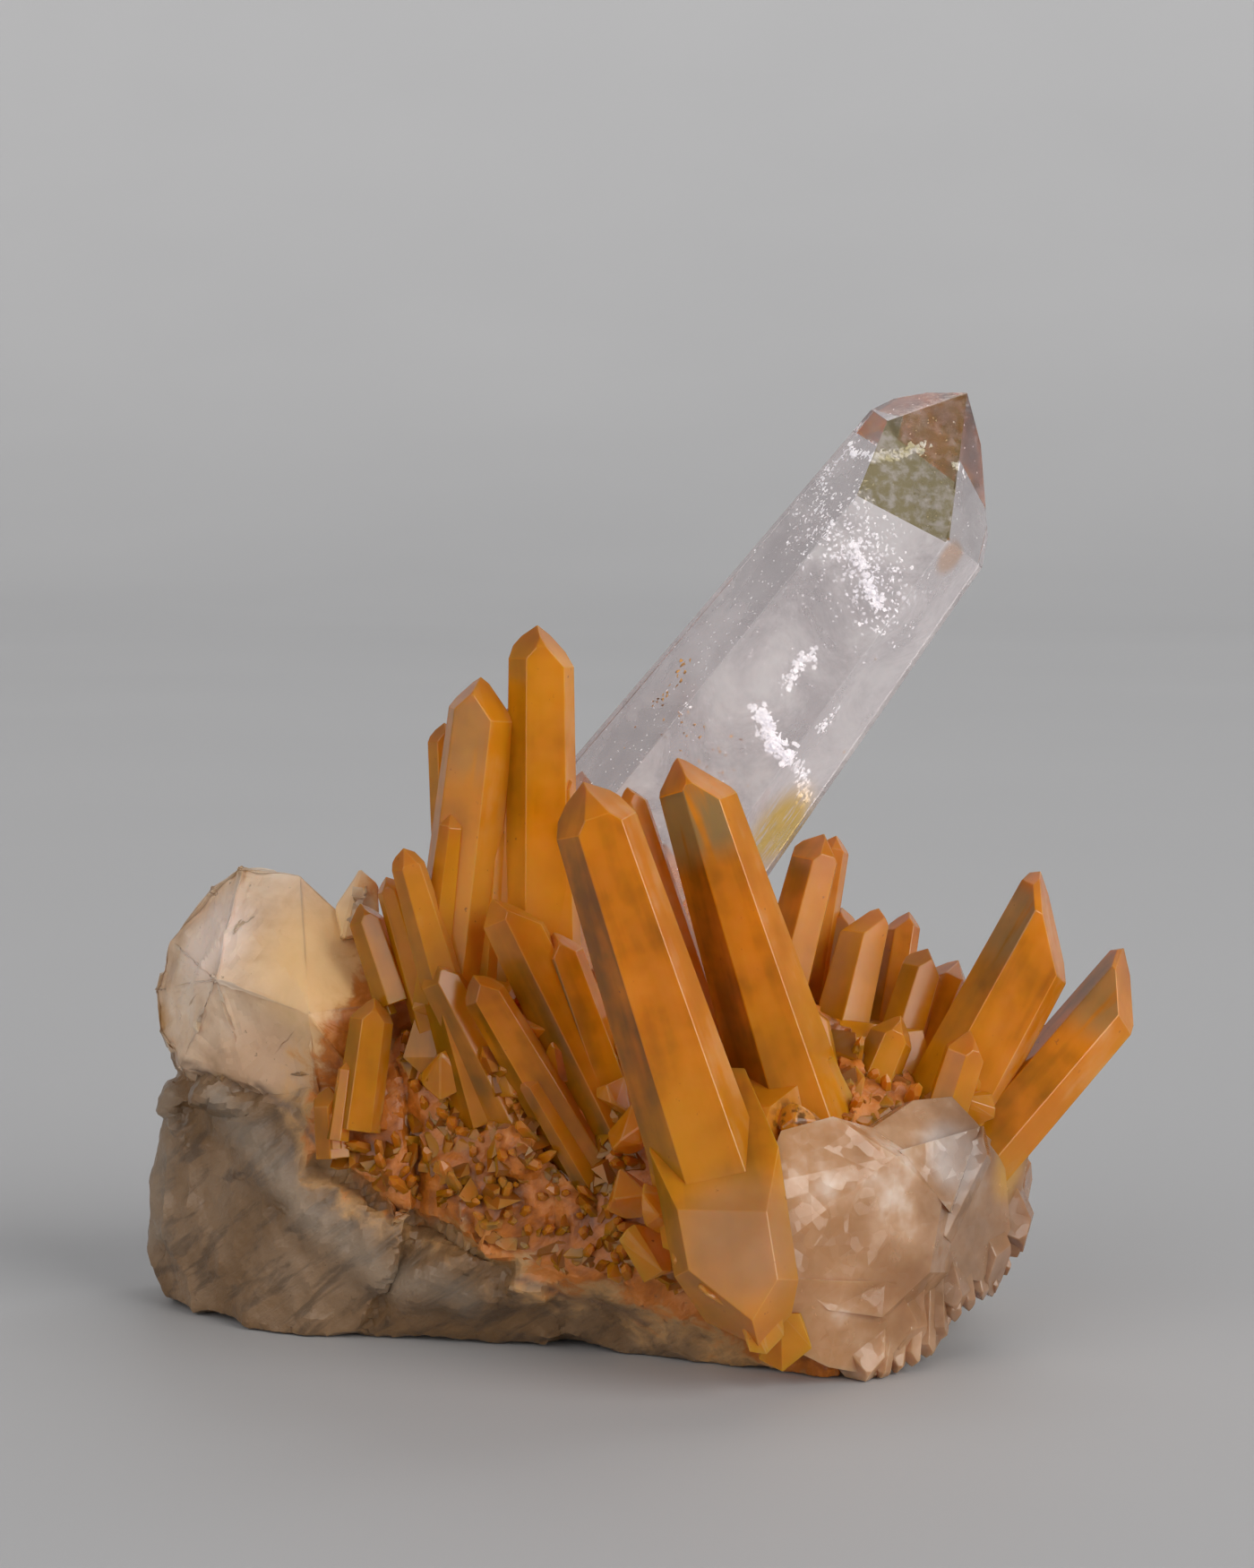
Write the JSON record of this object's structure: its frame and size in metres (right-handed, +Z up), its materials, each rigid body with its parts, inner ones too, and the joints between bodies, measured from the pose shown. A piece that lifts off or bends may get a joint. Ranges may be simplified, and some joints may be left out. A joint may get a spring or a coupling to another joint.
{
  "type": "golden healer quartz cluster",
  "caption": "Cluster of amber quartz points and one large clear point on a broken base of milky quartz, standing on its flat underside.",
  "frame": {"origin": "the middle of the cluster's outline, seen from above, at the level of the surface it rests on", "axes": "+Z up, +X to the right as seen from the front, +Y to the back"},
  "size_m": [0.1379, 0.0847, 0.1287],
  "materials": {
    "milky_quartz": "broken milky quartz, stained golden brown in front",
    "clear_quartz": "clear, glossy crystal faces with veils inside",
    "golden_quartz": "translucent amber crystal faces, satin to glossy",
    "pale_quartz": "translucent white and pink crystal"
  },
  "bodies": {
    "root": {"milky_matrix": "milky_quartz", "clear_point": "clear_quartz", "left_golden_points": "golden_quartz", "front_golden_points": "golden_quartz", "back_right_golden_points": "golden_quartz", "right_golden_points": "golden_quartz", "rear_golden_points": "golden_quartz", "pale_foot_crystals": "pale_quartz"}
  },
  "joints": []
}
